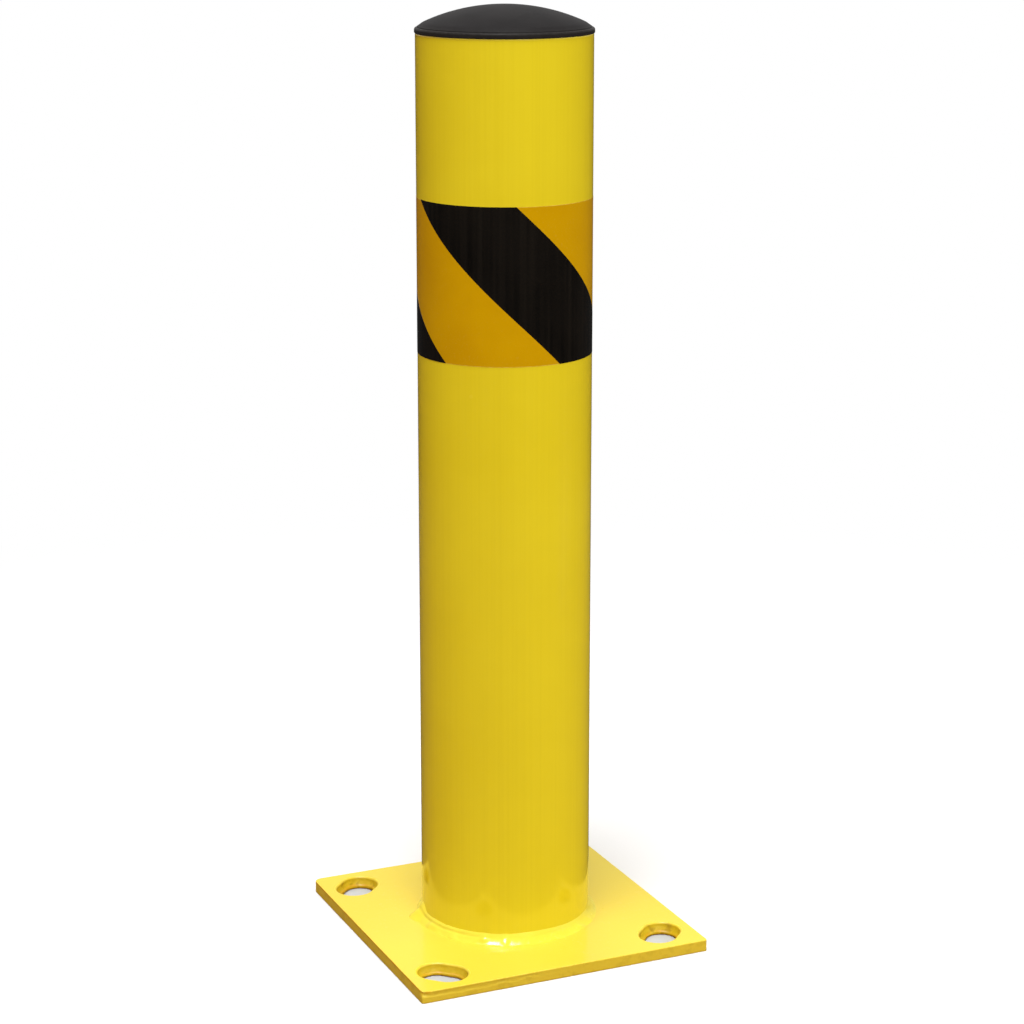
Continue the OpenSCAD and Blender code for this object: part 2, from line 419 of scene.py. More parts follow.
TUBE_COAT = powder_coat("yellow_coat_tube", YELLOW, YELLOW_DEEP, 14.0, 0.09, ior=1.62, drawn=0.25)
PLATE_COAT = powder_coat("yellow_coat_plate", LEMON, LEMON_DEEP, 9.0, 0.13)
# The weld's lighter coat is painted light, the same paint as the post
WELD_COAT_PAINTED_LIGHTER = powder_coat("yellow_coat_weld_painted_lighter", WELD_YELLOW_PAINTED_LIGHTER, WELD_DEEP_PAINTED_LIGHTER, 60.0, 0.15, ior=1.45, peel=0.02 * MM)
FILM = reflective_film()
PRINT = screen_print()
PLASTIC = moulded_plastic()


# Meshes

CREASE = 42
MERGE = 1e-7


def on_circle(radius, direction, z=0):
    """The point at that radius, direction in degrees and height."""
    angle = math.radians(direction)
    return Vector((radius * math.cos(angle), radius * math.sin(angle), z))


def left_of(direction):
    """A level direction turned a quarter to the left."""
    return Vector((-direction.y, direction.x, 0))


def smoothstep(value, low, high):
    """0 below low, 1 above high, and a smooth change between them."""
    share = min(max((value - low) / (high - low), 0.0), 1.0)
    return share * share * (3 - 2 * share)


def between(value, start, full, fading, gone):
    """1 from full to fading, 0 before start and after gone, and smooth changes between them."""
    return smoothstep(value, start, full) * (1 - smoothstep(value, fading, gone))


def wobble(place, length, third):
    """Smooth noise from -1 to 1 that changes over that length. Third is its third coordinate."""
    return noise.noise(Vector((place.x / length, place.y / length, third)))


def rolled(slow, quick):
    """How far a rolled face lies below its highest point, from a slow and a quick wobble."""
    return 0.05 * MM * (1 + slow) + 0.012 * MM * (1 + quick)


def quarter_round(steps):
    """Rows over a quarter round: share of the way, then how far in and down as shares of the radius."""
    for i in range(steps + 1):
        angle = math.pi / 2 * i / steps
        yield i / steps, 1 - math.sin(angle), 1 - math.cos(angle)


class Shell:
    """A mesh in the making, with masks on its points.

    Rim is where it is rubbed and a highlight is painted, cut where it was sheared or punched and shade is
    painted, and thin where its coat is thin.
    """

    def __init__(self):
        self.mesh = bmesh.new()
        self.masks = [self.mesh.verts.layers.float.new(name) for name in ("rim", "cut", "thin")]

    def point(self, place, *values):
        """A new point with its rim, cut and thin masks, each 0 where it is left out."""
        made = self.mesh.verts.new(place)
        for layer, value in zip(self.masks, values):
            made[layer] = value
        return made

    def bridge(self, first, second, closed=True):
        """Quads between two rows of points with the same count."""
        count = len(first)
        for i in range(count if closed else count - 1):
            after = (i + 1) % count
            self.mesh.faces.new((first[i], first[after], second[after], second[i]))

    def bridge_all(self, rows):
        """Quads between each row and the next."""
        for first, second in zip(rows, rows[1:]):
            self.bridge(first, second)

    def fan(self, ring, middle):
        """Triangles from a ring of points to one point in its middle."""
        for i, here in enumerate(ring):
            self.mesh.faces.new((here, ring[(i + 1) % len(ring)], middle))

    def fill(self, outline, holes, inner, z_at):
        """A sheet inside the outline and outside the holes, with the inner points as corners of its own."""
        hole_of = {vert: number for number, loop in enumerate(holes) for vert in loop}
        points, edges, owners = [], [], []
        for loop in [outline, *holes]:
            first = len(points)
            points += [vert.co.xy.copy() for vert in loop]
            owners += loop
            edges += [(first + i, first + (i + 1) % len(loop)) for i in range(len(loop))]
        points += inner
        owners += [None] * len(inner)
        found, _, faces, origins, _, _ = delaunay_2d_cdt(points, edges, [], 2, MERGE)
        corners = []
        for place, sources in zip(found, origins):
            owner = next((owners[s] for s in sources if owners[s] is not None), None)
            corners.append(owner or self.point((place.x, place.y, z_at(place))))
        for face in faces:
            around = [corners[i] for i in face]
            spans_hole = around[0] in hole_of and len({hole_of.get(vert) for vert in around}) == 1
            if not spans_hole:
                self.mesh.faces.new(around)

    def mesh_data(self, name):
        """The plain mesh of what is there."""
        made = bpy.data.meshes.new(name)
        self.mesh.to_mesh(made)
        self.mesh.free()
        return made

    def finish(self, name, material, crease=CREASE):
        """The finished piece, with its doubles merged and its faces turned outwards."""
        bmesh.ops.remove_doubles(self.mesh, verts=self.mesh.verts, dist=MERGE)
        bmesh.ops.dissolve_degenerate(self.mesh, edges=self.mesh.edges, dist=MERGE)
        bmesh.ops.recalc_face_normals(self.mesh, faces=self.mesh.faces)
        return dress(name, self.mesh_data(name), material, crease)


def stand(name, contents):
    """A new object in the scene with that mesh, lamp or camera."""
    made = bpy.data.objects.new(name, contents)
    bpy.context.scene.collection.objects.link(made)
    return made


def plain_mesh(holder, name):
    """The mesh that an object's modifiers make. The object itself is taken away."""
    evaluated = holder.evaluated_get(bpy.context.evaluated_depsgraph_get())
    mesh = bpy.data.meshes.new_from_object(evaluated)
    mesh.name = name
    holder.modifiers.clear()
    bpy.data.objects.remove(holder)
    return mesh


def dress(name, mesh, material, crease=CREASE):
    """An object of the mesh with its material, shaded smooth up to the crease angle in degrees."""
    mesh.materials.clear()
    mesh.materials.append(material)
    mesh.polygons.foreach_set("use_smooth", [True] * len(mesh.polygons))
    mesh.set_sharp_from_angle(angle=math.radians(crease))
    mesh.update()
    return stand(name, mesh)


def revolve(shell, profile, steps, waviness=None):
    """Turns a profile round the post, and returns its rings.

    Each row of the profile is a radius, a height and masks. A radius of 0 is a pole.
    """
    rings = []
    for radius, z, *masks in profile:
        if radius == 0:
            rings.append([shell.point((0, 0, z), *masks)])
            continue
        ring = []
        for i in range(steps):
            direction = 360 * i / steps
            inward = waviness(direction, z) if waviness else 0.0
            ring.append(shell.point(on_circle(radius - inward, direction, z), *masks))
        rings.append(ring)
    for lower, upper in zip(rings, rings[1:]):
        if len(lower) == 1:
            shell.fan(upper[::-1], lower[0])
        elif len(upper) == 1:
            shell.fan(lower, upper[0])
        else:
            shell.bridge(lower, upper)
    return rings


# Anchor plate

PLATE_EDGE = 0.6 * MM
PLATE_BORDER = 1.3 * MM
PLATE_FOOT = 0.3 * MM
SLOT_BORDER = 2.4 * MM
SMALLEST_CORNER = 0.25 * MM
SIDE_STEPS = 210
CORNER_STEPS = 8
SLOT_STEPS = 56
STRAIGHT_STEPS = 9
EDGE_STEPS = 5
RIM_STEPS = 7
WALL_ROWS = 15
PLATE_GRID = 5 * MM
FRONT_CORNER = Vector((-PLATE_HALF, -PLATE_HALF, 0))
# How much rounder than the drawing each corner is ground, from (+X, +Y) on
CORNER_EXTRA = (0.8 * MM, 4.0 * MM, 0.0, 0.8 * MM)
# The punch pulled the wall inwards on its way down, and broke through over a narrow ledge.
# Each row: how far out from the slot's size and how far down, in millimetres
PUNCHED_WALL = (
    (0.02, 2.1), (-0.20, 2.8), (-0.46, 3.5), (-0.76, 4.2), (-1.06, 4.8), (-1.28, 5.2), (-1.58, 5.5),
    (-1.92, 5.75), (-2.14, 6.05), (-2.24, 6.5), (-2.24, 6.9), (-2.14, 7.3), (-1.84, 7.7), (-1.15, 8.0),
)


def square_ring(inset):
    """The plate's outline moved inwards, as places in its plane with their outward directions."""
    places = []
    half = PLATE_HALF - inset
    radii = [max(PLATE_CORNER + extra - inset, SMALLEST_CORNER) for extra in CORNER_EXTRA]
    for corner, radius in enumerate(radii):
        side = on_circle(1, 90 * corner)
        along = left_of(side)
        first = radii[corner - 1] - half
        last = half - radius
        for i in range(SIDE_STEPS):
            places.append((side * half + along * (first + (last - first) * i / SIDE_STEPS), side))
        middle = (side + along) * last
        for i in range(CORNER_STEPS):
            outward = on_circle(1, 90 * corner + 90 * i / CORNER_STEPS)
            places.append((middle + outward * radius, outward))
    return places


def slot_ring(centre, wider):
    """A slot across the plate's diagonal, as places with the directions that point out of the slot."""
    middle = Vector((centre.x, centre.y, 0))
    along = left_of(middle.normalized())
    radius = SLOT_RADIUS + wider
    places = []
    for end in (1, -1):
        turn = math.degrees(math.atan2(along.y * end, along.x * end))
        pivot = middle + along * end * SLOT_TRAVEL / 2
        for i in range(SLOT_STEPS):
            away = on_circle(1, turn - 90 + 180 * i / SLOT_STEPS)
            places.append((pivot + away * radius, away))
        away = on_circle(1, turn + 90)
        for i in range(STRAIGHT_STEPS):
            slide = along * end * SLOT_TRAVEL * i / STRAIGHT_STEPS
            places.append((pivot + away * radius - slide, away))
    return places


def plate_dip(place):
    """How far the rolled face lies below its highest point."""
    return rolled(wobble(place, 0.055, 3.0), wobble(place, 0.018, 7.0))


def side_bruise(place, outward, z):
    """How far the sheared side lies inside its highest point: its upper band lies behind a ragged ledge."""
    slow = wobble(place, 0.02, 0)
    drag = wobble(place, 0.0035, z / 0.010)
    scallop = wobble(place, 0.012, 11.0)
    ragged = wobble(place, 0.006, 23.0)
    from_corner = (place - FRONT_CORNER).length
    near_corner = 1 - smoothstep(from_corner, 0.03, 0.10)
    faces_front = smoothstep(-outward.y, 0.3, 0.9)
    ledge = PLATE_TOP * (0.62 + 0.24 * scallop + 0.08 * ragged)
    above_ledge = smoothstep(z, ledge - 1.0 * MM, ledge + 0.5 * MM)
    above_ledge *= 1 - 0.85 * smoothstep(z, PLATE_TOP - 1.7 * MM, PLATE_TOP - 0.9 * MM)
    bite = 0.02 + 0.05 * max(scallop, 0) + 0.58 * near_corner * faces_front * (0.8 + scallop)
    chip = 1 - smoothstep(from_corner, 0.0, 5 * MM)
    chip *= smoothstep(z, PLATE_TOP * 0.4, PLATE_TOP * 0.9)
    return (0.05 * (1 + slow) + 0.025 * (1 + drag) + bite * above_ledge + 0.9 * chip) * MM


def slot_wear(place, z):
    """How far the punched wall strays outwards: strata along it, and drag marks down it."""
    strata = wobble(place, 0.03, z / (0.9 * MM))
    drag = wobble(place, 0.003, z / (5 * MM))
    dent = wobble(place, 0.007, z / (2.5 * MM))
    return (0.05 * (1 + strata) + 0.05 * drag + 0.18 * max(dent - 0.1, 0)) * MM


def thin_coat(place, outward, drop):
    """Where the coat is thin on the upper edge: along the left side, and round the chipped front corner."""
    on_edge = between(drop, 0.0, 0.15 * MM, 0.9 * MM, 1.7 * MM)
    on_left = smoothstep(-outward.x, 0.4, 0.9) * (0.95 + 0.45 * wobble(place, 0.011, 31.0))
    ring = between((place - FRONT_CORNER).length, 1.5 * MM, 3 * MM, 4 * MM, 7 * MM)
    return min(on_edge * max(on_left, ring), 1.0)


def thin_ledge(place, outward, drop):
    """Where the coat is thin in a punched hole: on the ledge, and on the sharp edge at the wall's foot."""
    patchy = 0.55 + 0.9 * wobble(place, 0.006, 13.0)
    on_ledge = between(drop, 4.6 * MM, 5.4 * MM, 5.9 * MM, 6.4 * MM) * patchy
    at_foot = 0.8 * smoothstep(drop, 7.1 * MM, 7.6 * MM)
    return min(max(on_ledge, at_foot, 0.0), 1.0)


def ledge_sway(place, drop):
    """How far the ledge in the punched wall sags below its mean height, here and there."""
    near_ledge = between(drop, 4.0 * MM, 5.2 * MM, 6.2 * MM, 7.6 * MM)
    return 0.8 * MM * near_ledge * wobble(place, 0.008, 5.0)


def side_rows():
    """The plate's side in section. Each row: how far in from the side, how far down, rim mask, cut mask."""
    rows = [(PLATE_BORDER, 0.0, 0.0, 0.0), (PLATE_EDGE * 1.15, 0.0, 0.15, 0.0)]
    for share, inward, down in quarter_round(EDGE_STEPS):
        rows.append((PLATE_EDGE * inward, PLATE_EDGE * down, 1.0 - 0.5 * share, 0.12 * share))
    flat = PLATE_TOP - PLATE_EDGE - PLATE_FOOT
    rows += [(0.0, PLATE_EDGE + flat * i / WALL_ROWS, 0.0, 0.25) for i in range(1, WALL_ROWS + 1)]
    return [*rows, (PLATE_FOOT, PLATE_TOP, 0.3, 0.4)]


def slot_rows():
    """A slot's wall in section. Each row: how far out from its size, how far down, rim mask, cut mask."""
    rows = [(SLOT_BORDER, 0.0, 0.0, 0.0), (2.1 * MM, 0.0, 0.1, 0.0)]
    for share, outward, down in quarter_round(RIM_STEPS):
        rows.append(((0.15 + 1.7 * outward) * MM, 1.5 * MM * down, 0.8 - 0.8 * share, share))
    return rows + [(reach * MM, down * MM, 0.0, 1.0) for reach, down in PUNCHED_WALL]


def clear_of_loops(place):
    """Whether a place in the plate's face lies well clear of the slots and of the side."""
    clearance = 0.4 * PLATE_GRID
    for centre in SLOT_CENTRES:
        away = place - centre.xy
        along = left_of(centre).xy.normalized()
        slide = min(max(away.dot(along), -SLOT_TRAVEL / 2), SLOT_TRAVEL / 2)
        if (away - along * slide).length < SLOT_RADIUS + SLOT_BORDER + clearance:
            return False
    return max(abs(place.x), abs(place.y)) < PLATE_HALF - PLATE_BORDER - clearance


def make_plate():
    """The anchor plate: rounded top edge with a pale rim, partly rubbed and partly a painted highlight,
    sheared sides and punched slots with softened rims.
    """
    shell = Shell()

    def row(places, drop, rim, cut, thin, shift=None, sway=None):
        z = PLATE_TOP - drop
        made = []
        for place, outward in places:
            bare = thin(place, outward, drop)
            moved = place - outward * (shift(place, outward, z) if shift else 0.0)
            if z > PLATE_TOP / 2:
                sink = plate_dip(place)
            else:
                sink = sway(place, drop) if sway else 0.0
            made.append(shell.point((moved.x, moved.y, z - sink), rim * (1 - bare), cut, bare))
        return made

    outer = []
    for reach, drop, rim, cut in side_rows():
        bruised = side_bruise if 0 < drop < PLATE_TOP else None
        outer.append(row(square_ring(reach), drop, rim, cut, thin_coat, bruised))
    shell.bridge_all(outer)

    tops, feet = [], []
    for centre in SLOT_CENTRES:
        wall = []
        for reach, drop, rim, cut in slot_rows():
            deep = smoothstep(drop, 0.5 * MM, 1.5 * MM) if drop < PLATE_TOP else 0.0

            def worn(place, outward, z, deep=deep):
                return -deep * slot_wear(place, z)

            wall.append(row(slot_ring(centre, reach), drop, rim, cut, thin_ledge, worn, ledge_sway))
        shell.bridge_all(wall[::-1])
        tops.append(wall[0])
        feet.append(wall[-1])

    count = int(PLATE_HALF / PLATE_GRID)
    steps = [PLATE_GRID * i for i in range(-count, count + 1)]
    inner = [place for place in (Vector((x, y)) for x in steps for y in steps) if clear_of_loops(place)]
    shell.fill(outer[0], tops, inner, lambda place: PLATE_TOP - plate_dip(place))
    shell.fill(outer[-1], feet, inner, lambda place: 0.0)
    return shell.finish("anchor_plate", PLATE_COAT)


# Post tube

TUBE_STEPS = 240
TUBE_ROWS = 150
TUBE_EDGE = 0.8 * MM


def tube_wave(direction, z):
    """How far the rolled and coated wall lies inside its highest point."""
    place = on_circle(1, direction)
    return rolled(wobble(place, 0.625, z / 0.16), wobble(place, 0.2, z / 0.05))


def make_tube():
    """The post: a welded steel tube with a faintly wavy coat, and its bare bore."""
    shell = Shell()
    edge = TUBE_EDGE
    bore = POST_RADIUS - POST_WALL
    heights = [PLATE_TOP + (POST_END - edge - PLATE_TOP) * i / TUBE_ROWS for i in range(TUBE_ROWS + 1)]
    heights.insert(-1, POST_END - 1.3 * edge)
    outer = revolve(shell, [(POST_RADIUS, z) for z in heights], TUBE_STEPS, tube_wave)
    # The third number is the rim mask, the fourth the cut mask. The full rim mask on the lip paints a pale
    # highlight along the lit edge under the cap
    lip = [
        (POST_RADIUS - 0.29 * edge, POST_END - 0.29 * edge, 1.0),
        (POST_RADIUS - edge, POST_END, 1.0, 0.2),
        (bore + edge, POST_END, 1.0, 0.3),
        (bore, POST_END - edge, 0.5, 0.5),
        (bore, PLATE_TOP, 0.0, 0.6),
    ]
    inner = revolve(shell, lip, TUBE_STEPS)
    shell.bridge(outer[-1], inner[0])
    shell.bridge(inner[-1], outer[0])
    return shell.finish("post_tube", TUBE_COAT)


# Weld bead, spatter and fins: Geometry Nodes

WELD_STEPS = 696
WELD_FACE_ROWS = 16
FIN_STEPS = 144
JOIN = 0.01 * MM
WELD_CREASE = 85


def make_growth(build, **inputs):
    """A Geometry Nodes group that makes one kind of piece. Each takes the piece's material."""
    return make_group("GeometryNodeTree", build, "Geometry", finish="Material", **inputs)


def flat_grid(tree, steps, rows):
    """A flat grid to bend round the post, its points' directions in radians and their rows from 0 on."""
    size = {"Size X": 1.0, "Size Y": 1.0, "Vertices X": steps + 1, "Vertices Y": rows}
    x, y, _ = split(add(tree, "GeometryNodeInputPosition"))
    last = rows - 1.0
    return add(tree, "GeometryNodeMeshGrid", size), x * TURN + TURN / 2, y * last + last / 2


def round_post(radius, angle, height):
    """The place at that radius, direction in radians and height."""
    return combine(radius * maths("COSINE", angle), radius * maths("SINE", angle), height)


def bend(grid, radius, angle, height):
    """The grid with its points moved to those places round the post, and its two ends joined."""
    tree = tree_of(grid)
    moved = {"Geometry": grid, "Position": round_post(radius, angle, height)}
    bent = add(tree, "GeometryNodeSetPosition", moved)
    return add(tree, "GeometryNodeMergeByDistance", {"Geometry": bent, "Distance": JOIN})


def in_material(geometry, material):
    """Real geometry in that material, which every tree ends in."""
    real = add(tree_of(geometry), "GeometryNodeRealizeInstances", {"Geometry": geometry})
    return add(tree_of(geometry), "GeometryNodeSetMaterial", {"Geometry": real, "Material": material})


def weld_bead(given):
    """A fillet bead round the post's foot: a grid whose length goes round and whose width goes over it."""
    grid, angle, row = flat_grid(given.tree, WELD_STEPS, WELD_FACE_ROWS + 3)
    is_root = maths("COMPARE", row, WELD_FACE_ROWS + 1.0, 0.5)
    is_closing = maths("GREATER_THAN", row, WELD_FACE_ROWS + 1.5)
    up = maths("MINIMUM", row / float(WELD_FACE_ROWS), 1.0) * (1.0 - is_closing)
    down = 1.0 - up
    cosine, sine = maths("COSINE", angle), maths("SINE", angle)

    # The leg wanders slowly, and the torch leaves crescents that lean back towards both toes
    wander = maths("SINE", angle * 3.0) * 0.6 + maths("SINE", angle * 7.0) * 0.4
    leg = wander * given.wander + given.leg
    from_middle = up - 0.5
    phase = angle * (given.ripples / 2.0) + from_middle * from_middle * 5.0
    ripple = maths("ABSOLUTE", maths("SINE", phase)) * given.ripple_height

    # Lumps, where the metal ran: noise on the circle itself, so that the bead's ends meet
    calm = ramp(maths("ABSOLUTE", angle - given.calm_turn), 0.2, 0.4)
    lump = ramp(grain(combine(cosine, sine, up * 0.12), 4.5, 1.0), 0.45, 0.8) * calm * given.lumps
    bulge = given.crown + ripple + lump

    # The run stops in a smooth lump, and is narrower behind it, where it began
    past_stop = maths("ABSOLUTE", angle - given.stop_turn)
    share = maths("MINIMUM", past_stop / given.stop_width, 1.0)
    fold = (1.0 - share * share) ** 2.0
    before_stop = given.stop_turn - angle
    started = maths("MAXIMUM", ramp(before_stop, 0.0, 0.16, 1.0, 0.0), ramp(before_stop, 0.3, 0.9))
    leg = leg * (1.0 - (1.0 - started) * given.start_share)
    leg = fold * given.stop_size + leg
    bulge = fold * given.stop_bulge + bulge

    # A ridge near the post with a groove under it comes and goes, where one run lies on the one below
    def hump(middle, width):
        away = (up - middle) / width
        return maths("EXPONENT", away * away * -1.0)

    comes_and_goes = ramp(grain(combine(cosine, sine, 4.0), 2.4, 2.0), 0.40, 0.60, 0.05, 0.3)
    near_stop = ramp(past_stop, 0.6, 1.3, 0.95, 0.0)
    shows = maths("MAXIMUM", comes_and_goes, near_stop) * calm
    ridge = (hump(0.86, 0.08) - hump(0.68, 0.07) * 0.9) * shows * given.ridge

    # The arch is 0 at both toes and 1 at its highest, and the bulge stands square to the bead's slope
    arch_to_one = 27 / 4
    arch = up * down ** 2.0 * arch_to_one
    bulge = (bulge * arch + ridge) * math.sqrt(0.5)
    leg = leg + lump * 0.5
    root_radius = given.post_radius - given.toe_sink
    root_height = given.plate_top - given.toe_sink
    radius = root_radius + (leg * down ** given.post_toe_blend + bulge)
    height = root_height + (leg * given.climb * up ** given.plate_toe_blend + bulge)
    radius = radius * (1.0 - is_root) + root_radius * is_root
    height = height * (1.0 - is_root) + root_height * is_root
    return in_material(bend(grid, radius, angle, height), given.finish)


def weld_spatter(given):
    """Beads of weld spatter under the coat: some on the plate round the weld, some low on the post."""
    tree = given.tree

    def chance(low, high, shift):
        seed = add(tree, "FunctionNodeIntegerMath", {0: given.seed, 1: shift}, operation="ADD")
        return add(tree, "FunctionNodeRandomValue", {2: low, 3: high, "Seed": seed}, 1)

    def beads(count, radius, height, shift):
        place = round_post(radius, chance(0.0, TURN, shift), height)
        points = add(tree, "GeometryNodePoints", {"Count": count, "Position": place})
        ball = add(tree, "GeometryNodeMeshIcoSphere", {"Radius": MM, "Subdivisions": 2})
        size = chance(given.smallest, given.largest, shift + 1)
        made = {"Points": points, "Instance": ball, "Scale": size}
        return add(tree, "GeometryNodeInstanceOnPoints", made)

    near_post = chance(given.post_radius + given.nearest, given.post_radius + given.farthest, 10)
    above = chance(given.plate_top + given.lowest, given.plate_top + given.highest, 20)
    joined = tree.nodes.new("GeometryNodeJoinGeometry")
    plug(beads(given.beads_on_plate, near_post, given.plate_top, 30), joined.inputs[0])
    plug(beads(given.beads_on_post, given.post_radius, above, 40), joined.inputs[0])
    return in_material(Wire(joined.outputs[0]), given.finish)


def plug_fins(given):
    """The plug's gripping fins: one ring with a leaning section, repeated down the plug."""
    root, tip = given.root_radius, given.tip_radius
    grid, angle, corner = flat_grid(given.tree, FIN_STEPS, 5)

    def at_corners(*values):
        here = [maths("COMPARE", corner, float(i), 0.5) * value for i, value in enumerate(values)]
        return sum(here, 0.0)

    radius = at_corners(root, tip, tip, root, root)
    height = at_corners(0.0, given.lift, given.lift + given.tip_thickness, given.root_thickness, 0.0)
    ring = bend(grid, radius, angle, height + given.lowest)
    steps = {"Count": given.count, "Offset": combine(0.0, 0.0, given.pitch)}
    ladder = add(given.tree, "GeometryNodeMeshLine", steps)
    rings = add(given.tree, "GeometryNodeInstanceOnPoints", {"Points": ladder, "Instance": ring})
    return in_material(rings, given.finish)


WELD_BEAD = make_growth(
    weld_bead,
    post_radius=POST_RADIUS,
    plate_top=PLATE_TOP,
    leg=WELD_LEG,
    climb=1.05,
    crown=0.25 * MM,
    wander=0.5 * MM,
    lumps=1.1 * MM,
    ripples=58.0,
    ripple_height=0.035 * MM,
    plate_toe_blend=1.55,
    post_toe_blend=1.05,
    stop_turn=math.radians(169),
    stop_width=math.radians(9.5),
    stop_size=3.8 * MM,
    stop_bulge=0.7 * MM,
    start_share=0.4,
    calm_turn=math.radians(336),
    ridge=0.45 * MM,
    toe_sink=0.14 * MM,
)
WELD_SPATTER = make_growth(
    weld_spatter,
    post_radius=POST_RADIUS,
    plate_top=PLATE_TOP,
    beads_on_plate=8,
    beads_on_post=6,
    nearest=7.5 * MM,
    farthest=30 * MM,
    lowest=8 * MM,
    highest=60 * MM,
    smallest=0.2,
    largest=0.42,
    seed=11,
)
PLUG_FINS = make_growth(
    plug_fins,
    count=FIN_COUNT,
    pitch=FIN_PITCH,
    root_radius=PLUG_RADIUS - PLUG_WALL / 2,
    tip_radius=FIN_REACH,
    root_thickness=FIN_THICKNESS,
    tip_thickness=FIN_TIP,
    lift=FIN_LIFT,
    lowest=CAP_LOW + PLUG_WALL / 2,
)


def grow(name, tree, material, crease=CREASE):
    """Runs a Geometry Nodes group with that material, and turns what it makes into a plain piece."""
    holder = stand(name + "_nodes", bpy.data.meshes.new(name + "_nodes"))
    modifier = holder.modifiers.new("nodes", "NODES")
    modifier.node_group = tree
    finish = next(item for item in tree.interface.items_tree if item.name == "Finish")
    modifier[finish.identifier] = material
    shell = Shell()
    shell.mesh.from_mesh(plain_mesh(holder, name + "_grown"))
    return shell.finish(name, material, crease)


# Hazard tape

DEGREES_PER_METRE = 360 / (TURN * TAPE_FACE)
FILM_FACE = TAPE_FACE - TAPE_THICKNESS
FILM_STEPS = 300
FILM_ROWS = 16
FILM_EDGE = 0.15 * MM
TAPE_TALL = TAPE_HIGH - TAPE_LOW
TAPE_LAST = TAPE_END_TURN + 360
LAP_START = TAPE_LAST - TAPE_LAP * DEGREES_PER_METRE
PRINT_LIFT = 0.05 * MM
PRINT_ROWS = 12
PRINT_STEP = 1.5
PRINT_MERGE = 1e-6


def film_radius(direction):
    """Radius of the film's face: the last stretch climbs over the film's start, one thickness higher."""
    return FILM_FACE + smoothstep(direction, LAP_START - 0.8, LAP_START + 0.5) * TAPE_THICKNESS


def make_film():
    """The amber film: once round the post, with its end lapped over its start."""
    shell = Shell()
    directions = [TAPE_END_TURN + 360 * i / FILM_STEPS for i in range(FILM_STEPS + 1)]
    within = 3 * FILM_EDGE
    heights = [within + (TAPE_TALL - 2 * within) * j / FILM_ROWS for j in range(FILM_ROWS + 1)]
    # Each row: how far in from the film's face, or None on its back, then the height and the rim mask
    rows = [(None, TAPE_LOW, 1.0), (FILM_EDGE, TAPE_LOW, 1.0), (0.0, TAPE_LOW + FILM_EDGE, 1.0)]
    rows += [(0.0, TAPE_LOW + height, 0.0) for height in heights]
    rows.append((0.0, TAPE_LOW + (TAPE_TALL - FILM_EDGE), 1.0))
    rows += [(FILM_EDGE, TAPE_HIGH, 1.0), (None, TAPE_HIGH, 1.0)]
    levels = []
    for inset, z, rim in rows:
        radii = [POST_RADIUS if inset is None else film_radius(a) - inset for a in directions]
        levels.append([shell.point(on_circle(radius, a, z), rim) for radius, a in zip(radii, directions)])
    for lower, upper in zip(levels, levels[1:] + levels[:1]):
        shell.bridge(lower, upper, closed=False)
        shell.mesh.faces.new((lower[-1], lower[0], upper[0], upper[-1]))
    return shell.finish("hazard_film", FILM)


def make_stripes():
    """The black stripes: slanted bands wound round the film, which stop at the film's ends and edges."""
    shell = Shell()
    width = STRIPE_WIDTH * DEGREES_PER_METRE
    pitch = (STRIPE_WIDTH + STRIPE_SPACE) * DEGREES_PER_METRE
    twist = TAPE_TALL / math.tan(math.radians(STRIPE_SLOPE)) * DEGREES_PER_METRE
    reach = (width + twist) / 2
    first = math.ceil((TAPE_END_TURN - reach - STRIPE_TURN) / pitch)
    last = math.floor((TAPE_LAST + reach - STRIPE_TURN) / pitch)
    for k in range(first, last + 1):
        middle = STRIPE_TURN + k * pitch
        start = max(middle - reach, TAPE_END_TURN)
        stop = min(middle + reach, TAPE_LAST)
        marks = {start, stop}
        marks |= {middle + side * (width - twist) / 2 for side in (1, -1)}
        marks |= {start + PRINT_STEP * i for i in range(int((stop - start) / PRINT_STEP) + 1)}
        columns = []
        for direction in sorted(mark for mark in marks if start <= mark <= stop):
            # The stripe's middle lies at this direction at this share of the tape's height
            share = 0.5 - (direction - middle) / twist
            low = min(max(share - width / twist / 2, 0), 1) * TAPE_TALL
            high = min(max(share + width / twist / 2, 0), 1) * TAPE_TALL
            radius = film_radius(direction) + PRINT_LIFT
            heights = [TAPE_LOW + low + (high - low) * j / PRINT_ROWS for j in range(PRINT_ROWS + 1)]
            columns.append([shell.point(on_circle(radius, direction, z)) for z in heights])
        for left, right in zip(columns, columns[1:]):
            shell.bridge(right, left, closed=False)
    bmesh.ops.remove_doubles(shell.mesh, verts=shell.mesh.verts, dist=PRINT_MERGE)
    ink_face = dress("ink_face", shell.mesh_data("ink_face"), PRINT)
    ink = ink_face.modifiers.new("ink", "SOLIDIFY")
    ink.thickness = PRINT_LIFT * 1.5
    ink.offset = -1
    return dress("black_stripes", plain_mesh(ink_face, "black_stripes"), PRINT)


# Cap

CAP_STEPS = 192
DOME_ROWS = 40
HOLLOW_ROWS = 12
RIM_SOFTENING = 0.3 * MM
STEP_WIDTH = 0.15 * MM
CAP_FULLNESS = 1.3 * MM
CAP_STEP_SHARE = 0.55


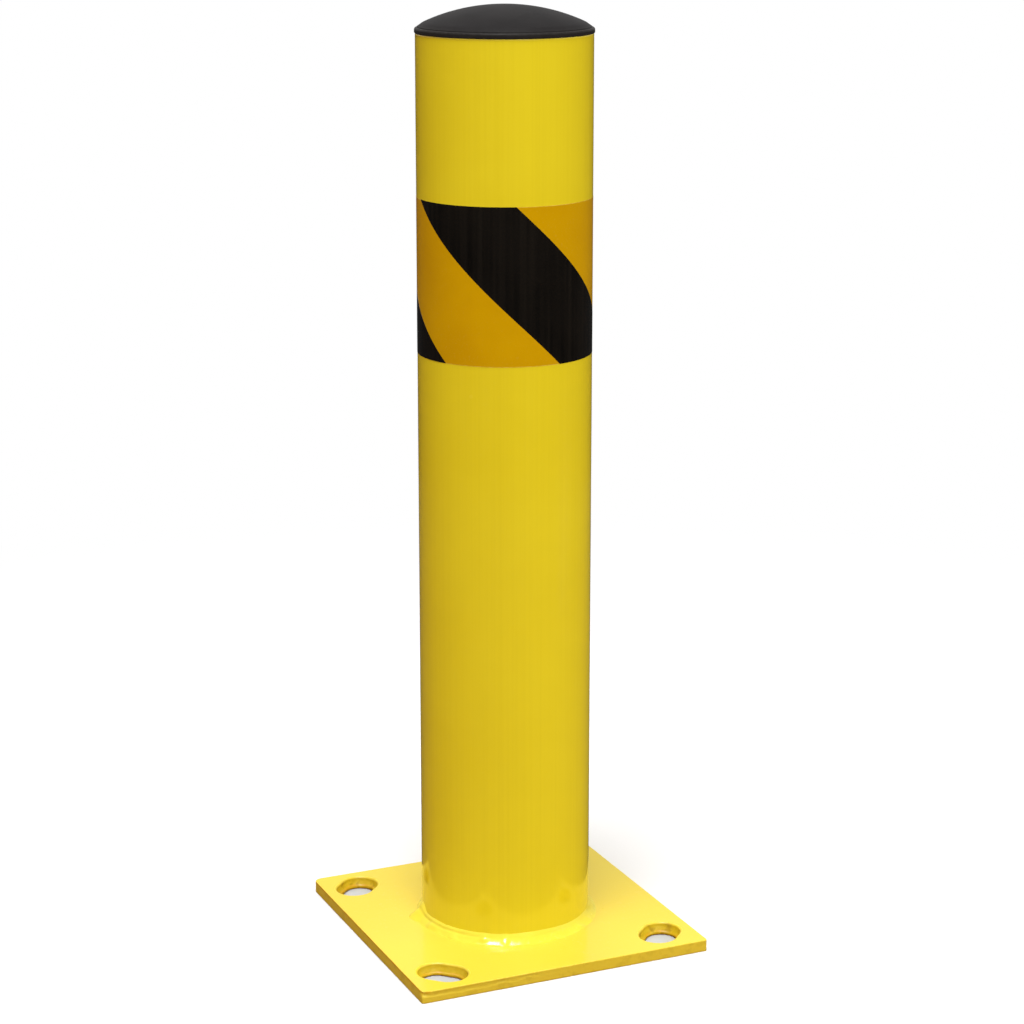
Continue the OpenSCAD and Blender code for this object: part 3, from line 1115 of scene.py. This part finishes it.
def make_cap():
    """The cap: a rim that sits on the post's end, a low dome, and the hollow plug inside the post."""
    shell = Shell()
    rim_top = POST_END + CAP_RIM_HEIGHT
    dome_foot = CAP_RADIUS - CAP_RIM_ROUND - CAP_LEDGE
    rise = CAP_APEX - rim_top
    dome_radius = (dome_foot**2 + rise**2) / (2 * rise)
    centre = CAP_APEX - dome_radius
    lead = PLUG_WALL / 2
    bore = PLUG_RADIUS - PLUG_WALL
    # The third number is the rim mask, whose paler colour is partly rubbed and partly a painted highlight
    profile = [
        (bore, POST_END),
        (bore, CAP_LOW),
        (PLUG_RADIUS - lead, CAP_LOW),
        (PLUG_RADIUS, CAP_LOW + lead),
        (PLUG_RADIUS, POST_END),
        (CAP_RADIUS - RIM_SOFTENING, POST_END, 0.3),
        (CAP_RADIUS, POST_END + RIM_SOFTENING, 0.5),
        (CAP_RADIUS, rim_top - CAP_RIM_ROUND, 0.2),
    ]
    for share, from_top, from_side in quarter_round(RIM_STEPS):
        if share > 0:
            profile.append((CAP_RADIUS - CAP_RIM_ROUND * from_side, rim_top - CAP_RIM_ROUND * from_top, 0.8))
    profile.append((dome_foot + STEP_WIDTH, rim_top, 0.3))
    widest = math.asin(dome_foot / dome_radius)
    for i in range(DOME_ROWS):
        angle = widest * (1 - i / DOME_ROWS)
        radius = dome_radius * math.sin(angle)
        share = radius / dome_foot
        # The flank is fuller than a ball's, and ends in a low step on the rim's ledge
        lift = CAP_FULLNESS * share**2 * (1 - CAP_STEP_SHARE * smoothstep(share, 0.93, 1.0))
        profile.append((radius, centre + dome_radius * math.cos(angle) + lift, 0.3 if i == 0 else 0.0))
    outer = revolve(shell, [*profile, (0, CAP_APEX)], CAP_STEPS)
    inner_radius = dome_radius - CAP_WALL
    inner_widest = math.asin(bore / inner_radius)
    inside = [(0, centre + inner_radius)]
    for i in range(HOLLOW_ROWS):
        angle = inner_widest * (i + 1) / HOLLOW_ROWS
        inside.append((inner_radius * math.sin(angle), centre + inner_radius * math.cos(angle)))
    inner = revolve(shell, inside, CAP_STEPS)
    shell.bridge(inner[-1], outer[0])
    return shell.finish("domed_cap", PLASTIC)


# The pieces on their body


def fit(piece, slot_name, *nodes):
    """The piece rides on the part's one body, its slot name is not used, and it stands for the nodes it
    replaces.
    """
    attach(piece, "root")
    if nodes:
        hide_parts(*nodes)


fit(make_plate(), "yellow_paint", "base_plate")
fit(make_tube(), "yellow_paint", "pipe")
fit(grow("weld_bead_run", WELD_BEAD, WELD_COAT_PAINTED_LIGHTER, WELD_CREASE), "yellow_paint", "weld_bead")
fit(grow("weld_spatter", WELD_SPATTER, WELD_COAT_PAINTED_LIGHTER, WELD_CREASE), "yellow_paint")
fit(make_film(), "amber_film", "tape_band")
fit(make_stripes(), "black_print", "tape_stripes")
fit(make_cap(), "black_plastic", "dome_cap")
fit(grow("plug_fins", PLUG_FINS, PLASTIC), "black_plastic")


# Studio

FRONT_TURN = 246.75
POST_MIDDLE = Vector((0, 0, 0.3))
CAMERA_PLACE = (-0.6831, -1.5567, 0.7300)
CAMERA_YAW = 0.4163
CAMERA_PITCH = 0.234
FLOOR_DROP = 0.1 * MM
FLOOR_RADIUS = 1.3
FLOOR_RINGS = 12
FLOOR_STEPS = 128
FLOOR_PALE = (0.80, 0.80, 0.81, 1)
# Darker floor under the plate's footprint: painted shade, seen through the slots
FLOOR_PAINTED_SHADE_UNDER_PLATE = (0.47, 0.49, 0.51, 1)
FLOOR_LIT = (0.44, 0.27, 0.135, 1)
FLOOR_MIRRORED = (0.045, 0.040, 0.03, 1)
FLOOR_MARKS = (0.6, 0.6, 0.6, 1)
WHITE = (1, 1, 1, 1)
WARM_HORIZON = (1.0, 0.75, 0.50, 1)
SOFT_SKY = (1.0, 0.97, 0.93, 1)
SKY_STRENGTH = 0.44
KEY_TINT = (0.95, 1.04, 1.08)
FILL_TINT = (0.98, 1.02, 1.0)


def ray_masks(tree):
    """Where the camera looks, straight or through glass, and where a glossy surface mirrors."""
    path = tree.nodes.new("ShaderNodeLightPath").outputs
    seen = maths("MAXIMUM", Wire(path["Is Camera Ray"]), Wire(path["Is Transmission Ray"]))
    return seen, Wire(path["Is Glossy Ray"])


def make_floor():
    """A pale floor disc that keeps the post's shadow, with painted shade under the plate, and runs out into
    the white backdrop.
    """
    shell = Shell()
    rings = [(FLOOR_RADIUS * i / FLOOR_RINGS, -FLOOR_DROP) for i in range(FLOOR_RINGS, -1, -1)]
    revolve(shell, rings, FLOOR_STEPS)
    material = bpy.data.materials.new("studio_floor")
    material.use_nodes = True
    tree = material.node_tree
    tree.nodes.clear()
    seen, glossy = ray_masks(tree)
    position = add(tree, "ShaderNodeTexCoord", out="Object")
    colour = blend_colours(glossy, FLOOR_LIT, FLOOR_MIRRORED)
    x, y, _ = split(vector_maths("ABSOLUTE", position))
    # Painted shade on the floor under the plate
    shaded_under_plate = maths("LESS_THAN", maths("MAXIMUM", x, y), PLATE_HALF - 2 * MM)
    colour = blend_colours(seen, colour, blend_colours(shaded_under_plate, FLOOR_PALE, FLOOR_PAINTED_SHADE_UNDER_PLATE))
    colour = blend_colours(grain(position, 30.0, 3.0) * 0.04, colour, FLOOR_MARKS)
    lit = add(tree, "ShaderNodeBsdfDiffuse", {"Color": colour})
    white = add(tree, "ShaderNodeEmission", {"Color": WHITE, "Strength": 1.0})
    fade = ramp(vector_maths("LENGTH", position, out="Value"), 0.45, 1.1) * seen
    mixed = add(tree, "ShaderNodeMixShader", {0: fade, 1: lit, 2: white})
    plug(mixed, tree.nodes.new("ShaderNodeOutputMaterial").inputs["Surface"])
    shell.finish("studio_floor", material)


def make_world():
    """White to the camera, a soft white in reflections above the horizon, and a plain light on the object."""
    world = bpy.data.worlds.new("studio")
    bpy.context.scene.world = world
    world.use_nodes = True
    tree = world.node_tree
    tree.nodes.clear()
    seen, glossy = ray_masks(tree)
    up = split(add(tree, "ShaderNodeTexCoord", out="Generated"))[2]
    mirrored = ramp(up, -0.04, 0.05, 0.03, 0.50)
    strength = (mirrored - SKY_STRENGTH) * glossy + SKY_STRENGTH
    strength = (1.0 - strength) * seen + strength
    warm = blend_colours(ramp(up, 0.1, 0.7), WARM_HORIZON, SOFT_SKY)
    tint = blend_colours(maths("MAXIMUM", seen, glossy), warm, WHITE)
    background = add(tree, "ShaderNodeBackground", {"Color": tint, "Strength": strength})
    plug(background, tree.nodes.new("ShaderNodeOutputWorld").inputs["Surface"])


def make_softbox(name, turn, elevation, distance, size, light, colour=(1, 1, 1), mirrored=False):
    """A square softbox that aims at the post, at that turn from the photograph's side.

    Light is what it gives a surface that faces it, where 1 is white on white.
    """
    flat = math.cos(math.radians(elevation))
    away = on_circle(flat, FRONT_TURN + turn, math.sin(math.radians(elevation)))
    lamp = bpy.data.lights.new(name, "AREA")
    lamp.shape = "SQUARE"
    lamp.size = size
    lamp.energy = light * math.pi**2 * distance**2
    lamp.color = colour
    holder = stand(name, lamp)
    holder.location = POST_MIDDLE + away * distance
    holder.rotation_euler = (-away).to_track_quat("-Z", "Y").to_euler()
    holder.visible_glossy = mirrored
    holder.visible_camera = False


def make_camera():
    """The camera at the photograph's viewing angle."""
    flat = math.cos(CAMERA_PITCH)
    forward = Vector((math.sin(CAMERA_YAW) * flat, math.cos(CAMERA_YAW) * flat, -math.sin(CAMERA_PITCH)))
    lens = bpy.data.cameras.new("camera")
    lens.lens = 93
    lens.shift_y = -0.05
    camera = stand("camera", lens)
    camera.location = CAMERA_PLACE
    camera.rotation_euler = forward.to_track_quat("-Z", "Y").to_euler()
    bpy.context.scene.camera = camera


make_floor()
make_world()
make_softbox("key", 22, 25, distance=3.5, size=1.4, light=0.295, colour=KEY_TINT)
make_softbox("overhead", -18, 77, distance=3.0, size=1.0, light=1.08, mirrored=True)
make_softbox("right_fill", 85, 22, distance=3.5, size=1.2, light=0.12, colour=FILL_TINT)
make_softbox("low_fill", 82, -14, distance=0.6, size=0.2, light=0.08, colour=FILL_TINT)
make_softbox("back_fill", 190, 42, distance=3.5, size=1.4, light=0.26)
make_camera()
bpy.context.scene.view_settings.view_transform = "Standard"
